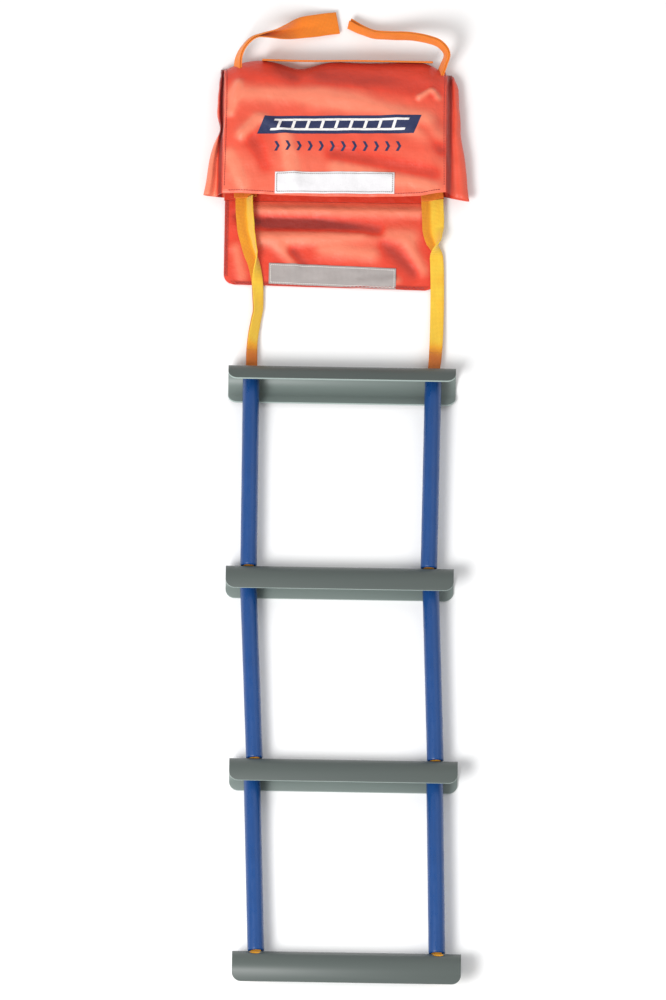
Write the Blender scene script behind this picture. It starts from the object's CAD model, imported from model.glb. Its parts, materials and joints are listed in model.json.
import json
import math

import bpy
from bpy.props import FloatProperty, FloatVectorProperty, IntProperty, PointerProperty
from bpy.types import Operator, Panel, PropertyGroup
from mathutils import Matrix, Vector, noise


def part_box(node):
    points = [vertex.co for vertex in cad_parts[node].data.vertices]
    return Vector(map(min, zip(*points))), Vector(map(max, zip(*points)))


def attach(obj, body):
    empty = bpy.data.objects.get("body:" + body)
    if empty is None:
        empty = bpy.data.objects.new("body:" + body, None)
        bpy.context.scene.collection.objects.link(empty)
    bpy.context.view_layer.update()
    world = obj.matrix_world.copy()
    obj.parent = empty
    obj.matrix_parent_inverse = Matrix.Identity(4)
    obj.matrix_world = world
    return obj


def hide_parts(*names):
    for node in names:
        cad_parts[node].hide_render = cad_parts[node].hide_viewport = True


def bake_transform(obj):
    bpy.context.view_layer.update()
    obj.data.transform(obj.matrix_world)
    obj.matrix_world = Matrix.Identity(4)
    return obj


bl_info = {
    "name": "Webbing Escape Ladder",
    "version": (1, 0, 0),
    "blender": (4, 5, 0),
    "location": "3D View > Sidebar > Ladder",
    "description": "Channel-rung ladder on webbing, laid out beside its open stowage bag",
    "category": "Add Mesh",
}

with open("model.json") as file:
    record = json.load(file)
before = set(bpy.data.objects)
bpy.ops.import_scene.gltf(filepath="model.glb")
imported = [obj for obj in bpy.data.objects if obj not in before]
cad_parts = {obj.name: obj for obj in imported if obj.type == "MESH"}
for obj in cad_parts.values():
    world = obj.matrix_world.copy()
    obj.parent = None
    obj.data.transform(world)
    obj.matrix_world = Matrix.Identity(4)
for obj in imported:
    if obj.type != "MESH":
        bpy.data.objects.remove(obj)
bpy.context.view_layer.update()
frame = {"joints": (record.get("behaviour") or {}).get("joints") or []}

MM = 0.001
SIDES = {"left": -1, "right": 1}
JOINTS = {joint["name"]: joint for joint in frame["joints"]}


def linear(hex_colour, alpha=1.0):
    """Turn an sRGB hex colour into linear light."""
    values = []
    for start in (1, 3, 5):
        value = int(hex_colour[start:start + 2], 16) / 255
        values.append(value / 12.92 if value <= 0.04045 else ((value + 0.055) / 1.055) ** 2.4)
    return (*values, alpha)


# ---------- what a user would change ----------

class LadderSizes(PropertyGroup):
    rung_length: FloatProperty(
        name="Rung length", description="Length of each channel rung", default=0.300, unit="LENGTH")
    rung_radius: FloatProperty(
        name="Rung radius", description="Outside radius of the half-round",
        default=0.024, unit="LENGTH")
    rung_wall: FloatProperty(
        name="Rung wall", description="Thickness of the channel", default=0.0025, unit="LENGTH")
    flange_depth: FloatProperty(
        name="Flange depth", description="Straight part below the half-round",
        default=0.012, unit="LENGTH")
    flange_corner: FloatProperty(
        name="Flange corner", description="Radius of the flange corners", default=0.012, unit="LENGTH")
    hole_spacing: FloatProperty(
        name="Hole spacing", description="Distance between the webbing holes",
        default=0.240, unit="LENGTH")
    hole_radius: FloatProperty(
        name="Hole radius", description="Radius of a webbing hole", default=0.0085, unit="LENGTH")
    tube_length: FloatProperty(
        name="Tube length", description="Length of a spacer tube", default=0.256, unit="LENGTH")
    tube_radius: FloatProperty(
        name="Tube radius", description="Outside radius of a spacer tube", default=0.011, unit="LENGTH")
    tube_wall: FloatProperty(
        name="Tube wall", description="Wall of a spacer tube", default=0.0025, unit="LENGTH")
    web_width: FloatProperty(
        name="Webbing width", description="Width of the flat webbing", default=0.030, unit="LENGTH")
    web_thickness: FloatProperty(
        name="Webbing thickness", description="Thickness of one layer", default=0.0016, unit="LENGTH")
    bag_width: FloatProperty(
        name="Bag width", description="Width of the front of the bag", default=0.295, unit="LENGTH")
    bag_height: FloatProperty(
        name="Bag height", description="From the mouth to the top", default=0.187, unit="LENGTH")
    flap_width: FloatProperty(
        name="Flap width", description="Width of the closing flap", default=0.280, unit="LENGTH")
    flap_length: FloatProperty(
        name="Flap length", description="From the mouth to the flap's edge",
        default=0.116, unit="LENGTH")
    stitch_spacing: FloatProperty(
        name="Stitch spacing", description="From one stitch to the next", default=0.0034, unit="LENGTH")
    arc_steps: IntProperty(
        name="Arc steps", description="Sides of a full circle of the rung's arc", default=96, min=32)


class LadderColours(PropertyGroup):
    rung: FloatVectorProperty(
        name="Rungs", description="Grey of the channel rungs", subtype="COLOR", size=4,
        default=linear("#4e5653"))
    tube: FloatVectorProperty(
        name="Tubes", description="Blue of the spacer tubes", subtype="COLOR", size=4,
        default=linear("#0c407c"))
    webbing: FloatVectorProperty(
        name="Webbing", description="Orange yellow of the webbing", subtype="COLOR", size=4,
        default=linear("#ffae0a"))
    nylon: FloatVectorProperty(
        name="Bag", description="Red of the bag's coated nylon", subtype="COLOR", size=4,
        default=linear("#e43f24"))
    print_ink: FloatVectorProperty(
        name="Print", description="Ink of the printed marks", subtype="COLOR", size=4,
        default=linear("#1c2750"))
    loop_tape: FloatVectorProperty(
        name="Loop tape", description="Soft half of the fastener", subtype="COLOR", size=4,
        default=linear("#e9e7e9"))
    hook_tape: FloatVectorProperty(
        name="Hook tape", description="Hook half of the fastener", subtype="COLOR", size=4,
        default=linear("#b6aeab"))


def sizes():
    return bpy.context.scene.ladder_sizes


def colours():
    return bpy.context.scene.ladder_colours


# ---------- how the pieces lie ----------

# The open side of each rung is turned up by this many degrees from level.
RUNG_TILTS = (28, 2, 2, -24)
# How far the lower end of each tube stands off its hole, left then right.
TUBE_FOOT_OFFSETS = ((0, -3), (4, 1.5), (2, -1))
TUBE_FOOT_GAP = 0.8 * MM

# The straps' routes in millimetres from the middle of the bag's mouth.
STRAP_TO_RUNG = {
    "left": ((-117, 4, 7.5), (-117, -6.5, 7.5), (-113, -46, 6), (-102, -92, 5.5), (-98, -146, 6),
             (-101.4, -171, 6.5), (-105, -202, 9.5), (-105.4, -236, 13.2)),
    "right": ((130.5, 4, 7.5), (131, -6.5, 7.5), (131.8, -36, 6.5), (135, -62, 6), (137.4, -92, 5.5),
              (138.2, -147, 6), (137.2, -200, 9.5), (134.6, -236, 13.2)),
}
# The straps bend across the hinges at the mouth and at the first rung between these places.
MOUTH_BEND = ((0, 4, 7.5), (0, -12, 7.5))
RUNG_BEND = ((0, -210, 10), (0, -236, 13))
# Each strap crosses two hinges, so what lies below this place is a piece of its own.
STRAP_CUT = -208
# How far the straps' lowest line stays below their route.
STRAP_REST = 2.2
STRAP_IN_BAG = {
    "left": ((-117, 3, 7.5), (-119, 30, 6), (-123, 110, 5), (-126, 158, 12)),
    "right": ((130.5, 3, 7.5), (128, 30, 6), (128, 110, 5), (132, 158, 12)),
}
TAILS = {
    "left": ((-128, 164, 14), (-130, 182, 22), (-125, 197, 38), (-112, 211, 46), (-97, 218, 41),
             (-72, 227, 27), (-48, 237, 13), (1.5, 247, 5)),
    "right": ((134, 164, 14), (140, 180, 21), (146, 196, 36), (138, 208, 42), (124, 215, 39),
              (100, 222, 32), (55, 228, 16), (34, 236, 10), (16, 245, 8)),
}
TOP_STRAP = ((-98, 190.5, 17.5), (-40, 190, 17), (30, 191, 17.8), (128, 191, 17.5))

# Where the webbing inside each rung starts and ends, from the half-round's centre.
WEB_IN_RUNG_FROM = (13, 21.6, 21.6, 14.2)
WEB_IN_RUNG_TO = 23.6

# The bag's front sheet: level to the rounded top, then down in a quarter ellipse to its end.
MOUTH_DEPTH = 38
BAG_PUFF = 4
TOP_ROUND = 48
TOP_END = 4
# How far each side sheet stands out from its mouth to its top, and how deep its valley is.
GUSSET_FLARES = {-1: (27, 13, 9, 5), 1: (33, 21, 17, 6)}
GUSSET_VALLEYS = {-1: 13, 1: 7}
GUSSET_PALENESS = {-1: 1.3, 1: 0.25}
BACK_HALF_WIDTH = 145
BACK_SHORTER = 5
CLOTH_THICKNESS = 1.0
# A fold of this height is as dark or as pale as the cloth gets.
FRONT_TONE_DEPTH = 3.2
FLAP_TONE_DEPTH = 3.2
FLAP_CORNER = 14
HEM_WIDTH = 5.0

# The fastener strips: left and right ends, lower and upper edges, and rise across.
LOOP_STRIP = ((-78.5, 79.5), (1.0, 30.0), 0.0105)
HOOK_STRIP = ((-84.5, 83.5), (-116.6, -87.8), -0.02975)

# Folds in the front sheet: from and to across and up from the mouth, then width and height.
FRONT_FOLDS = (
    ((-144, 140), (-40, 136), 12, 3.0),
    ((-40, 136), (40, 124), 14, 4.2),
    ((40, 124), (130, 104), 11, 3.0),
    ((-30, 168), (140, 146), 12, -1.6),
    ((-128, 156), (-140, 108), 6, 4.0),
    ((-127, 76), (-100, 106), 7, 4.6),
    ((-100, 106), (-68, 88), 6, 3.4),
    ((-68, 88), (-50, 8), 9, 3.6),
    ((-112, 80), (-88, 30), 10, -2.0),
    ((-10, 56), (139, 30), 11, -2.6),
    ((-6, 40), (138, 12), 9, 2.4),
    ((-142, 60), (-118, 6), 8, 3.0),
    ((70, 104), (142, 78), 12, 2.8),
    ((108, 134), (128, 148), 4, 4.4),
    ((128, 148), (138, 134), 4, 3.4),
    ((-84, 182), (-50, 160), 9, -1.8),
    ((110, 100), (146, 60), 8, -2.4),
)
# Folds in the flap, in the same way, downwards from the mouth.
FLAP_FOLDS = (
    ((-106, -52), (-26, -50), 9, 5.4),
    ((-26, -50), (44, -44), 10, 4.0),
    ((44, -44), (112, -46), 12, 3.0),
    ((-130, -20), (-92, -30), 8, -3.6),
    ((-92, -30), (-14, -31), 8, -6.0),
    ((-14, -31), (66, -40), 8, -4.4),
    ((-126, -12), (120, -12), 9, 3.6),
    ((-78, -58), (-42, -90), 8, 3.4),
    ((-58, -66), (-36, -92), 7, -3.6),
    ((-20, -64), (60, -72), 11, 3.4),
    ((96, -50), (122, -98), 8, 3.2),
    ((62, -52), (112, -100), 9, -2.2),
    ((-130, -60), (-118, -110), 7, 2.6),
    ((30, -112), (90, -106), 6, 2.2),
)


BACK_LOW, BACK_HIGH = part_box("bag_back_panel")
MOUTH_MIDDLE = Vector(((BACK_LOW.x + BACK_HIGH.x) / 2, BACK_LOW.y, 0))


def from_bag(point):
    """A place given in millimetres from the middle of the bag's mouth, on the ground."""
    return MOUTH_MIDDLE + Vector(point) * MM


def rung_centre(number):
    """Centre of a rung's half-round, where the tubes hinge."""
    joint = JOINTS["rung_4_swing" if number == 4 else f"tubes_{number}_fold"]
    low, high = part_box(f"rung_{number}")
    return Vector(((low.x + high.x) / 2, joint["pos_m"][1], joint["pos_m"][2]))


def rung_place(number, side=0):
    """The frame of a rung, or of one of its holes: turned about X, with its crest towards +Y."""
    centre = rung_centre(number)
    centre.x += side * sizes().hole_spacing / 2
    return Matrix.Translation(centre) @ Matrix.Rotation(-math.radians(RUNG_TILTS[number - 1]), 4, "X")


def tube_place(bay, side):
    """The frame of a tube: its lower end at the origin and +Y up the tube."""
    head = rung_centre(bay)
    foot = rung_centre(bay + 1)
    head.x += side * sizes().hole_spacing / 2
    foot.x += side * sizes().hole_spacing / 2 + TUBE_FOOT_OFFSETS[bay - 1][0 if side < 0 else 1] * MM
    upward = (head - foot).normalized()
    turn = Vector((0, 1, 0)).rotation_difference(upward).to_matrix().to_4x4()
    start = foot + upward * (sizes().rung_radius + TUBE_FOOT_GAP)
    return Matrix.Translation(start) @ turn


# ---------- finishes ----------

# What the webbing and the bag's cloth turn to in hollows and where worn, and on ridges.
WEBBING_TONES = ("#c8610f", "#ffdc40")
NYLON_TONES = ("#74130c", "#fa8d6c")
RUBBED_PLASTIC = "#d3d8d5"


def add_node(tree, kind, inputs=None, **settings):
    """Add one node with its settings, its input values and its links."""
    node = tree.nodes.new(kind)
    for name, value in settings.items():
        setattr(node, name, value)
    for socket, value in (inputs or {}).items():
        if isinstance(value, bpy.types.NodeSocket):
            tree.links.new(value, node.inputs[socket])
        else:
            node.inputs[socket].default_value = value
    return node


def start_material(name, roughness, ior=1.5, sheen=0.0, coat=0.0):
    """A new material with a bare shader, whose uniform values are set on its own sockets."""
    material = bpy.data.materials.new(name)
    material.use_nodes = True
    tree = material.node_tree
    shader = tree.nodes["Principled BSDF"]
    shader.inputs["Roughness"].default_value = roughness
    shader.inputs["IOR"].default_value = ior
    shader.inputs["Sheen Weight"].default_value = sheen
    shader.inputs["Coat Weight"].default_value = coat
    return material, tree, shader


def bands(tree, coordinates, direction, pitch, profile="SIN"):
    """Even bands across one direction, one for every pitch in metres."""
    wave = add_node(
        tree, "ShaderNodeTexWave", {"Vector": coordinates, "Scale": math.pi / (10 * pitch)},
        wave_type="BANDS", bands_direction=direction, wave_profile=profile)
    return wave.outputs["Fac"]


def mottled(tree, coordinates, feature, detail=4.0, stretch=(1, 1, 1)):
    """Soft noise whose patches are about one feature across, in metres."""
    stretched = add_node(tree, "ShaderNodeMapping", {"Vector": coordinates, "Scale": stretch})
    patches = add_node(
        tree, "ShaderNodeTexNoise",
        {"Vector": stretched.outputs[0], "Scale": 1 / feature, "Detail": detail, "Roughness": 0.55})
    return patches.outputs["Fac"]


def ramp(tree, factor, low, high, first, last):
    """The factor from low to high, stretched to run from first to last."""
    return add_node(tree, "ShaderNodeMapRange", {0: factor, 1: low, 2: high, 3: first, 4: last}).outputs[0]


def woven(tree, coordinates, pitch):
    """Threads that cross: bands one way times bands the other way."""
    across = bands(tree, coordinates, "X", pitch)
    along = bands(tree, coordinates, "Y", pitch)
    return add_node(tree, "ShaderNodeMath", {0: across, 1: along}, operation="MULTIPLY").outputs[0]


def average(tree, one, other):
    total = add_node(tree, "ShaderNodeMath", {0: one, 1: other}, operation="ADD").outputs[0]
    return add_node(tree, "ShaderNodeMath", {0: total, 1: 0.5}, operation="MULTIPLY").outputs[0]


def shaded(tree, colour, factor, darker, lighter, low=0.25, high=0.75):
    """The colour from darker to lighter times itself as the factor goes from low to high."""
    if not isinstance(colour, bpy.types.NodeSocket):
        colour = tuple(colour[:3])
    amount = ramp(tree, factor, low, high, darker, lighter)
    scaled = add_node(tree, "ShaderNodeVectorMath", {0: colour, "Scale": amount}, operation="SCALE")
    return scaled.outputs[0]


def toned(tree, colour, dark, light, strength):
    """Mix towards dark in the piece's hollows and towards light on its ridges, from its tone."""
    tone = add_node(tree, "ShaderNodeAttribute", attribute_name="tone").outputs["Fac"]
    for end, shade in ((-1.0, dark), (1.0, light)):
        amount = ramp(tree, tone, 0.0, end, 0.0, strength)
        mix = add_node(tree, "ShaderNodeMix", {0: amount, 6: colour, 7: linear(shade)}, data_type="RGBA")
        colour = mix.outputs[2]
    return colour


def bumped(tree, shader, *layers):
    """Stack bump layers, each a height and its depth in metres, onto the shader."""
    below = None
    for height, depth in layers:
        inputs = {"Height": height, "Distance": depth, "Strength": 1.0}
        if below is not None:
            inputs["Normal"] = below
        below = add_node(tree, "ShaderNodeBump", inputs).outputs[0]
    tree.links.new(below, shader.inputs["Normal"])


def rung_plastic(name="rung_extruded_pvc", shade=1.0):
    # Extruded grey PVC: satin, with die lines along its length and a few scuffs.
    material, tree, shader = start_material(name, 0.42)
    uv = add_node(tree, "ShaderNodeUVMap", uv_map="UVMap").outputs[0]
    die_lines = mottled(tree, uv, 0.0016, 3.0, (0.02, 1, 1))
    broad = mottled(tree, uv, 0.03, 4.0, (0.25, 1, 1))
    scuffs = mottled(tree, uv, 0.006, 8.0, (0.35, 1, 1))
    tint = [value * shade for value in colours().rung]
    body = shaded(tree, tint, average(tree, die_lines, broad), 0.8, 1.2)
    # The flanges' edges are rubbed pale over their last 2 mm or so.
    size = sizes()
    edge = size.rung_radius * math.pi / 2 + size.flange_depth
    across = add_node(tree, "ShaderNodeSeparateXYZ", {0: uv}).outputs[1]
    off_crest = add_node(tree, "ShaderNodeMath", {0: across}, operation="ABSOLUTE").outputs[0]
    rubbed = ramp(tree, off_crest, edge - 2.3 * MM, edge - 1.5 * MM, 0.0, 0.95)
    worn = add_node(
        tree, "ShaderNodeMix", {0: rubbed, 6: body, 7: linear(RUBBED_PLASTIC)}, data_type="RGBA")
    tree.links.new(worn.outputs[2], shader.inputs["Base Color"])
    tree.links.new(ramp(tree, scuffs, 0.35, 0.7, 0.36, 0.58), shader.inputs["Roughness"])
    bumped(tree, shader, (die_lines, 0.00022), (scuffs, 0.00006))
    return material


def cut_plastic():
    # Sawn end of the same PVC: paler and rougher, with fine saw marks.
    material, tree, shader = start_material("rung_sawn_edge", 0.6)
    place = add_node(tree, "ShaderNodeTexCoord").outputs["Object"]
    marks = mottled(tree, place, 0.0009, 2.0, (1, 1, 0.2))
    pale = [min(1, value * 4.2) for value in colours().rung[:3]]
    tree.links.new(shaded(tree, pale, marks, 0.88, 1.1), shader.inputs["Base Color"])
    bumped(tree, shader, (marks, 0.0001))
    return material


def tube_plastic():
    # Extruded blue polyethylene tube: soft gloss, faint lengthwise streaks and rub marks.
    material, tree, shader = start_material("tube_blue_polyethylene", 0.3, ior=1.51)
    uv = add_node(tree, "ShaderNodeUVMap", uv_map="UVMap").outputs[0]
    streaks = mottled(tree, uv, 0.0022, 3.0, (1, 0.03, 1))
    rubs = mottled(tree, uv, 0.012, 7.0, (1, 0.5, 1))
    broad = mottled(tree, uv, 0.06, 2.0)
    body = shaded(tree, colours().tube, average(tree, streaks, broad), 0.82, 1.16)
    tree.links.new(body, shader.inputs["Base Color"])
    tree.links.new(ramp(tree, rubs, 0.4, 0.7, 0.26, 0.48), shader.inputs["Roughness"])
    bumped(tree, shader, (streaks, 0.00012), (rubs, 0.00005))
    return material


def webbing(name="webbing_polyester", tint=(1.0, 1.0, 1.0)):
    # Flat woven polyester webbing: lengthwise ribs crossed by the weft, matt with a soft sheen.
    # The threads are about 1 mm apart, and are drawn 1.8 mm apart so that they show.
    material, tree, shader = start_material(name, 0.72, sheen=0.25)
    uv = add_node(tree, "ShaderNodeUVMap", uv_map="UVMap").outputs[0]
    weave = woven(tree, uv, 0.0018)
    fuzz = mottled(tree, uv, 0.0015, 5.0)
    age = mottled(tree, uv, 0.02, 3.0, (1, 0.4, 1))
    colour = [value * part for value, part in zip(colours().webbing[:3], tint)]
    base = toned(tree, shaded(tree, colour, age, 0.86, 1.12), *WEBBING_TONES, 0.9)
    tree.links.new(shaded(tree, base, weave, 0.78, 1.1, 0.0, 1.0), shader.inputs["Base Color"])
    bumped(tree, shader, (weave, 0.0004), (fuzz, 0.0002))
    return material


def bag_nylon(name="bag_coated_nylon", shade=1.0):
    # Plain-woven nylon with a thin coating: strong red, soft gloss and fine crumples.
    # The real thread is 0.4 mm; the weave is drawn 1.3 mm apart so that it shows.
    material, tree, shader = start_material(name, 0.4, sheen=0.12)
    uv = add_node(tree, "ShaderNodeUVMap", uv_map="UVMap").outputs[0]
    weave = woven(tree, uv, 0.0013)
    crumple = mottled(tree, uv, 0.018, 5.0)
    creases = mottled(tree, uv, 0.007, 3.0, (0.6, 1, 1))
    wear = mottled(tree, uv, 0.05, 5.0)
    colour = [value * shade for value in colours().nylon[:3]]
    base = toned(tree, shaded(tree, colour, wear, 0.9, 1.12), *NYLON_TONES, 0.8)
    tree.links.new(shaded(tree, base, weave, 0.9, 1.06, 0.0, 1.0), shader.inputs["Base Color"])
    tree.links.new(ramp(tree, creases, 0.3, 0.7, 0.34, 0.5), shader.inputs["Roughness"])
    bumped(tree, shader, (crumple, 0.0016), (creases, 0.0004), (weave, 0.00014))
    return material


def loop_pile():
    # Brushed loop pile: white, very matt, with a fine tangled nap.
    material, tree, shader = start_material("fastener_loop_pile", 0.95, sheen=0.5)
    place = add_node(tree, "ShaderNodeTexCoord").outputs["Object"]
    nap = mottled(tree, place, 0.0012, 6.0)
    patches = mottled(tree, place, 0.012, 3.0)
    body = shaded(tree, colours().loop_tape, average(tree, nap, patches), 0.9, 1.0)
    tree.links.new(body, shader.inputs["Base Color"])
    bumped(tree, shader, (nap, 0.0006))
    return material


def hook_nylon():
    # Moulded hooks on woven tape: grey, with rows of small dots that catch the light.
    # The hooks stand 1.2 mm apart; they are drawn 1.6 mm apart so that they show.
    material, tree, shader = start_material("fastener_hook_nylon", 0.38, sheen=0.2)
    place = add_node(tree, "ShaderNodeTexCoord").outputs["Object"]
    hooks = woven(tree, place, 0.0016)
    patches = mottled(tree, place, 0.015, 3.0, (0.5, 1, 1))
    base = shaded(tree, colours().hook_tape, patches, 0.9, 1.08)
    tree.links.new(shaded(tree, base, hooks, 0.84, 1.12, 0.0, 1.0), shader.inputs["Base Color"])
    bumped(tree, shader, (hooks, 0.0005))
    return material


def washer_nylon():
    # Moulded black nylon: dull, with a faint grain from the mould.
    material, tree, shader = start_material("washer_moulded_nylon", 0.5, ior=1.53)
    place = add_node(tree, "ShaderNodeTexCoord").outputs["Object"]
    grain = mottled(tree, place, 0.001, 4.0)
    tree.links.new(shaded(tree, linear("#26282a"), grain, 0.85, 1.15), shader.inputs["Base Color"])
    bumped(tree, shader, (grain, 0.00008))
    return material


def thread(name, hex_colour):
    # Twisted polyester thread: a slight gloss, and light and dark along its twist.
    material, tree, shader = start_material(name, 0.55, sheen=0.2)
    place = add_node(tree, "ShaderNodeTexCoord").outputs["Object"]
    twist = mottled(tree, place, 0.001, 2.0)
    tree.links.new(shaded(tree, linear(hex_colour), twist, 0.85, 1.12), shader.inputs["Base Color"])
    bumped(tree, shader, (twist, 0.0001))
    return material


def ink(name, colour):
    # Screen print on nylon: flat and dull, worn thin where the weave stands up.
    material, tree, shader = start_material(name, 0.62)
    uv = add_node(tree, "ShaderNodeUVMap", uv_map="UVMap").outputs[0]
    thin = mottled(tree, uv, 0.004, 6.0)
    tree.links.new(shaded(tree, colour, thin, 0.85, 1.2), shader.inputs["Base Color"])
    crumple = mottled(tree, uv, 0.018, 5.0)
    bumped(tree, shader, (crumple, 0.003), (thin, 0.0001))
    return material


FINISHES = {}


def finish_of(name):
    """Each finish is made once, when the first piece needs it."""
    makers = {
        "rung": rung_plastic,
        "rung_inside": lambda: rung_plastic("rung_pvc_inner_face", 2.3),
        "cut": cut_plastic,
        "tube": tube_plastic,
        "webbing": webbing,
        "webbing_tail": lambda: webbing("webbing_polyester_tail", (0.98, 0.58, 0.6)),
        "webbing_shaded": lambda: webbing("webbing_polyester_worn", (0.9, 0.5, 0.9)),
        "nylon": bag_nylon,
        "nylon_hem": lambda: bag_nylon("bag_nylon_turned_hem", 0.72),
        "nylon_inside": lambda: bag_nylon("bag_nylon_inner_face", 0.95),
        "loop": loop_pile,
        "hook": hook_nylon,
        "washer": washer_nylon,
        "red_thread": lambda: thread("thread_dark_red", "#a8281f"),
        "pale_thread": lambda: thread("thread_pale_grey", "#dedad6"),
        "grey_thread": lambda: thread("thread_mid_grey", "#a39d9a"),
        "orange_thread": lambda: thread("thread_orange", "#d9861a"),
        "ink": lambda: ink("print_navy_ink", colours().print_ink),
        "white_ink": lambda: ink("print_white_ink", linear("#e9e6e4")),
    }
    if name not in FINISHES:
        FINISHES[name] = makers[name]()
    return FINISHES[name]


# ---------- helpers for modelling ----------

def select_only(obj):
    bpy.ops.object.select_all(action="DESELECT")
    obj.select_set(True)
    bpy.context.view_layer.objects.active = obj


def new_piece(name):
    """Name the primitive that was just added and make it the only one selected."""
    obj = bpy.context.active_object
    obj.name = name
    obj.data.name = name
    select_only(obj)
    return obj


def apply_place(obj):
    select_only(obj)
    bpy.ops.object.transform_apply(location=True, rotation=True, scale=True)


def apply_modifier(obj, kind, **settings):
    """Add one modifier with its settings and apply it."""
    select_only(obj)
    modifier = obj.modifiers.new(kind.title(), kind)
    for name, value in settings.items():
        setattr(modifier, name, value)
    bpy.ops.object.modifier_apply(modifier=modifier.name)


def select_where(obj, test, kind="FACE"):
    """In edit mode, select only the faces, edges or vertices that pass the test."""
    bpy.ops.object.mode_set(mode="EDIT")
    bpy.ops.mesh.select_mode(type=kind)
    bpy.ops.mesh.select_all(action="DESELECT")
    bpy.ops.object.mode_set(mode="OBJECT")
    parts = {"FACE": obj.data.polygons, "EDGE": obj.data.edges, "VERT": obj.data.vertices}[kind]
    found = 0
    for part in parts:
        if test(part):
            part.select = True
            found += 1
    if found == 0:
        raise RuntimeError(f"{obj.name}: nothing to select")
    bpy.ops.object.mode_set(mode="EDIT")


def to_object_mode():
    bpy.ops.object.mode_set(mode="OBJECT")


def smooth(obj, angle=40):
    select_only(obj)
    bpy.ops.object.shade_smooth_by_angle(angle=math.radians(angle))


def face_outwards(obj, check):
    """Turn the normals alike, then right way round by testing one face."""
    select_where(obj, lambda face: True)
    bpy.ops.mesh.normals_make_consistent(inside=False)
    to_object_mode()
    face = max(obj.data.polygons, key=lambda item: item.center.dot(Vector(check)))
    if face.normal.dot(Vector(check)) < 0:
        select_where(obj, lambda face: True)
        bpy.ops.mesh.flip_normals()
        to_object_mode()


def finish_piece(obj, body, slot, *nodes, finish=None, bends=None):
    """Give the piece its finish and body, and say which CAD nodes it stands for.

    A piece that crosses a hinge bends from its body to the next one between two places.
    """
    if finish:
        obj.data.materials.clear()
        obj.data.materials.append(finish_of(finish))
    if bends:
        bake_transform(obj)
    else:
        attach(obj, body)
    if nodes:
        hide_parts(*nodes)
    return obj


def copy_to(original, name, place):
    """A copy with its own mesh, moved by the matrix and applied."""
    copy = original.copy()
    copy.data = original.data.copy()
    copy.name = name
    copy.data.name = name
    bpy.context.collection.objects.link(copy)
    copy.data.transform(place)
    return copy


def joined_copies(original, name, places):
    """One mesh with a copy of the original at each place."""
    spots = [vertex.co.copy() for vertex in original.data.vertices]
    faces = [tuple(polygon.vertices) for polygon in original.data.polygons]
    points = []
    corners = []
    for place in places:
        first = len(points)
        points.extend(place @ spot for spot in spots)
        corners.extend(tuple(first + index for index in face) for face in faces)
    joined = original.copy()
    joined.data = bpy.data.meshes.new(name)
    joined.data.from_pydata(points, [], corners)
    joined.name = name
    bpy.context.collection.objects.link(joined)
    return joined


def discard(obj):
    bpy.data.objects.remove(obj, do_unlink=True)


def smooth_step(value):
    value = min(1.0, max(0.0, value))
    return value * value * (3 - 2 * value)


def blended(stops, along):
    """Straight-line blend between values spread evenly from 0 to 1."""
    place = min(max(along, 0.0), 1.0) * (len(stops) - 1)
    first = min(int(place), len(stops) - 2)
    return stops[first] + (stops[first + 1] - stops[first]) * (place - first)


def curve_points(points, steps):
    """Evenly spaced points on a smooth curve through the given points."""
    ends = [points[0] * 2 - points[1], *points, points[-1] * 2 - points[-2]]
    fine = []
    for i in range(len(points) - 1):
        a, b, c, d = ends[i:i + 4]
        for j in range(24):
            t = j / 24
            fine.append(0.5 * (2 * b + (c - a) * t + (2 * a - 5 * b + 4 * c - d) * t * t
                               + (3 * b - a - 3 * c + d) * t ** 3))
    fine.append(points[-1].copy())
    reach = [0.0]
    for before, after in zip(fine, fine[1:]):
        reach.append(reach[-1] + (after - before).length)
    even = []
    index = 0
    for step in range(steps + 1):
        wanted = reach[-1] * step / steps
        while index < len(reach) - 2 and reach[index + 1] < wanted:
            index += 1
        span = max(reach[index + 1] - reach[index], 1e-9)
        even.append(fine[index].lerp(fine[index + 1], (wanted - reach[index]) / span))
    return even, reach[-1]


def shaped_grid(name, columns, rows, place, real_size):
    """A grid whose points go where place(u, v) says, with a UV map in real metres."""
    bpy.ops.object.select_all(action="DESELECT")
    bpy.ops.mesh.primitive_grid_add(x_subdivisions=columns, y_subdivisions=rows, size=1)
    obj = new_piece(name)
    spots = [(vertex.co.x + 0.5, vertex.co.y + 0.5) for vertex in obj.data.vertices]
    layer = obj.data.uv_layers["UVMap"]
    for loop in obj.data.loops:
        u, v = spots[loop.vertex_index]
        layer.data[loop.index].uv = (u * real_size[0], v * real_size[1])
    for vertex, (u, v) in zip(obj.data.vertices, spots):
        vertex.co = place(u, v)
    return obj


def set_tone(obj, tone_at):
    """Store how much each point is darker or lighter than the rest, from -1 to 1."""
    layer = obj.data.attributes.new("tone", "FLOAT", "POINT")
    for vertex, value in zip(obj.data.vertices, layer.data):
        value.value = min(1.0, max(-1.0, tone_at(vertex)))


def fold_height(folds, x, y):
    """The sum of soft ridges and hollows, each along its own line and fading at its ends."""
    total = 0.0
    for start, end, width, height in folds:
        run_x, run_y = end[0] - start[0], end[1] - start[1]
        length = math.hypot(run_x, run_y)
        along = ((x - start[0]) * run_x + (y - start[1]) * run_y) / length
        aside = ((x - start[0]) * run_y - (y - start[1]) * run_x) / length
        inside = smooth_step((along + width) / (2 * width))
        inside *= smooth_step((length + width - along) / (2 * width))
        total += height * inside * math.exp(-(aside / width) ** 2)
    return total


def crumple(x, y, spread, height, seed=0.0):
    """Low irregular waves, the same each time."""
    return height * noise.noise(Vector((x / spread, y / spread, seed)))


# ---------- pieces ----------

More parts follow.
